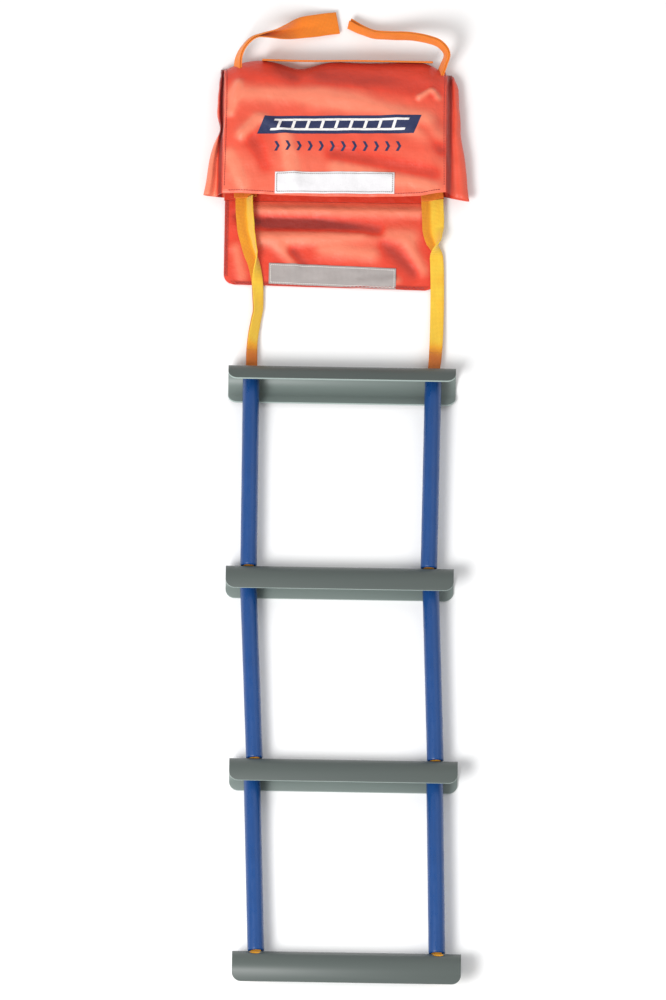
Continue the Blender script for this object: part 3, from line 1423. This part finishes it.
class LADDER_OT_print(Operator):
    """Print a plain ladder sign and a row of chevrons on the bag's front."""

    bl_idname = "ladder.print"
    bl_label = "Printed marks"

    def execute(self, context):
        self.patch("print_band", (-103, 81), (104, 85), 25, 10, 0.25, "ink", 120)
        # Ladder sign in white: two rails along the band and rungs between them.
        for number, up in enumerate((4.5, 18), 1):
            slant = up * 0.4
            self.patch(f"print_rail_{number}", (-88 + slant, 81.2 + up), (90 + slant, 84.6 + up),
                       3.0, 1, 0.4, "white_ink", 90)
        for number in range(9):
            x = -76 + 19 * number
            low = 81 + 4 * (x + 103) / 207 + 6
            self.patch(f"print_step_{number + 1}", (x - 1.9, low), (x + 1.9, low), 13, 4, 0.4,
                       "white_ink", 2)
        # Chevrons in a row below the band, each of two slanted bars.
        for number in range(12):
            x = -80 + 14.6 * number
            low = 58 + 2.6 * (x + 87) / 175
            name = f"print_chevron_{number + 1}"
            self.patch(f"{name}_a", (x, low), (x + 3.6, low), 6.5, 3.5, 0.25, "ink", 3)
            self.patch(f"{name}_b", (x + 3.5, low + 6.5), (x + 7.1, low + 6.5), 6.5, -3.5, 0.25, "ink", 3)
        return {"FINISHED"}

    def patch(self, name, start, end, height, slant, lift, finish, columns):
        """A slanted bar of ink that follows the front sheet below it."""
        def place(u, v):
            x = start[0] + (end[0] - start[0]) * u + slant * v
            y = start[1] + (end[1] - start[1]) * u + height * v
            return on_front(x, y, lift)

        length = math.hypot(end[0] - start[0], end[1] - start[1])
        mark = shaped_grid(name, columns, max(3, int(height / 1.7)), place, (length * MM, height * MM))
        face_outwards(mark, (0, 0, 1))
        apply_modifier(mark, "SOLIDIFY", thickness=0.12 * MM, offset=0)
        smooth(mark, 60)
        finish_piece(mark, "bag", "bag_nylon", finish=finish)


# ---------- stage ----------

# A long lens from far off, leaning 16 degrees from straight above.
CAMERA_AIM = Vector((0.0012, 0.0320, 0.0))
CAMERA_DISTANCE = 36.0
CAMERA_LEAN = 16.0
CAMERA_ROLL = 0.93
CAMERA_LENS = 983.3


class LADDER_OT_stage(Operator):
    """Set the pale floor, the soft lights and the camera."""

    bl_idname = "ladder.stage"
    bl_label = "Floor, lights and camera"

    def execute(self, context):
        bpy.ops.object.select_all(action="DESELECT")
        bpy.ops.mesh.primitive_plane_add(size=12, location=(0, 0, -0.0005))
        floor = new_piece("floor")
        apply_place(floor)
        material, tree, shader = start_material("floor_white_paper", 0.9)
        place = add_node(tree, "ShaderNodeTexCoord").outputs["Object"]
        tree.links.new(shaded(tree, (0.9, 0.9, 0.9), mottled(tree, place, 0.4), 0.995, 1.005),
                       shader.inputs["Base Color"])
        shader.inputs["Specular IOR Level"].default_value = 0.1
        floor.data.materials.append(material)

        world = bpy.data.worlds.new("pale_room")
        world.use_nodes = True
        world.node_tree.nodes["Background"].inputs["Color"].default_value = (1, 1, 1, 1)
        world.node_tree.nodes["Background"].inputs["Strength"].default_value = 0.64
        context.scene.world = world
        context.scene.view_settings.view_transform = "Standard"

        self.lamp("key_light", (-1.4, -1.7, 2.8), 1.4, 112)
        self.lamp("fill_light", (1.8, 1.2, 2.6), 2.4, 8)
        self.camera(context)
        return {"FINISHED"}

    def lamp(self, name, place, size, power):
        bpy.ops.object.select_all(action="DESELECT")
        bpy.ops.object.light_add(type="AREA", location=place)
        lamp = bpy.context.active_object
        lamp.name = name
        lamp.data.size = size
        lamp.data.energy = power
        lamp.rotation_euler = (CAMERA_AIM - Vector(place)).to_track_quat("-Z", "Y").to_euler()

    def camera(self, context):
        lean = math.radians(CAMERA_LEAN)
        away = Vector((0, -math.sin(lean), math.cos(lean)))
        bpy.ops.object.select_all(action="DESELECT")
        bpy.ops.object.camera_add(location=CAMERA_AIM + away * CAMERA_DISTANCE)
        camera = bpy.context.active_object
        camera.name = "camera"
        turn = Matrix.Rotation(lean, 4, "X") @ Matrix.Rotation(math.radians(CAMERA_ROLL), 4, "Z")
        camera.rotation_euler = turn.to_euler()
        camera.data.lens = CAMERA_LENS
        camera.data.sensor_width = 36
        camera.data.clip_end = 200
        context.scene.camera = camera


# ---------- panel and registration ----------

PIECES = (LADDER_OT_stage, LADDER_OT_tails, LADDER_OT_straps, LADDER_OT_rungs, LADDER_OT_tubes,
          LADDER_OT_inner_webbing, LADDER_OT_end_stops, LADDER_OT_bag, LADDER_OT_flap,
          LADDER_OT_fasteners, LADDER_OT_print)


class LADDER_PT_pieces(Panel):
    """Lists the ladder's pieces, sizes and colours."""

    bl_idname = "LADDER_PT_pieces"
    bl_label = "Escape Ladder"
    bl_space_type = "VIEW_3D"
    bl_region_type = "UI"
    bl_category = "Ladder"

    def draw(self, context):
        for piece in PIECES:
            self.layout.operator(piece.bl_idname)
        for group in (context.scene.ladder_sizes, context.scene.ladder_colours):
            column = self.layout.column()
            for name in group.__annotations__:
                column.prop(group, name)


CLASSES = (LadderSizes, LadderColours, *PIECES, LADDER_PT_pieces)


def register():
    for item in CLASSES:
        bpy.utils.register_class(item)
    bpy.types.Scene.ladder_sizes = PointerProperty(type=LadderSizes)
    bpy.types.Scene.ladder_colours = PointerProperty(type=LadderColours)


def unregister():
    del bpy.types.Scene.ladder_sizes
    del bpy.types.Scene.ladder_colours
    for item in reversed(CLASSES):
        bpy.utils.unregister_class(item)


def main():
    register()
    for piece in PIECES:
        group, name = piece.bl_idname.split(".")
        getattr(getattr(bpy.ops, group), name)()


if __name__ == "__main__":
    main()
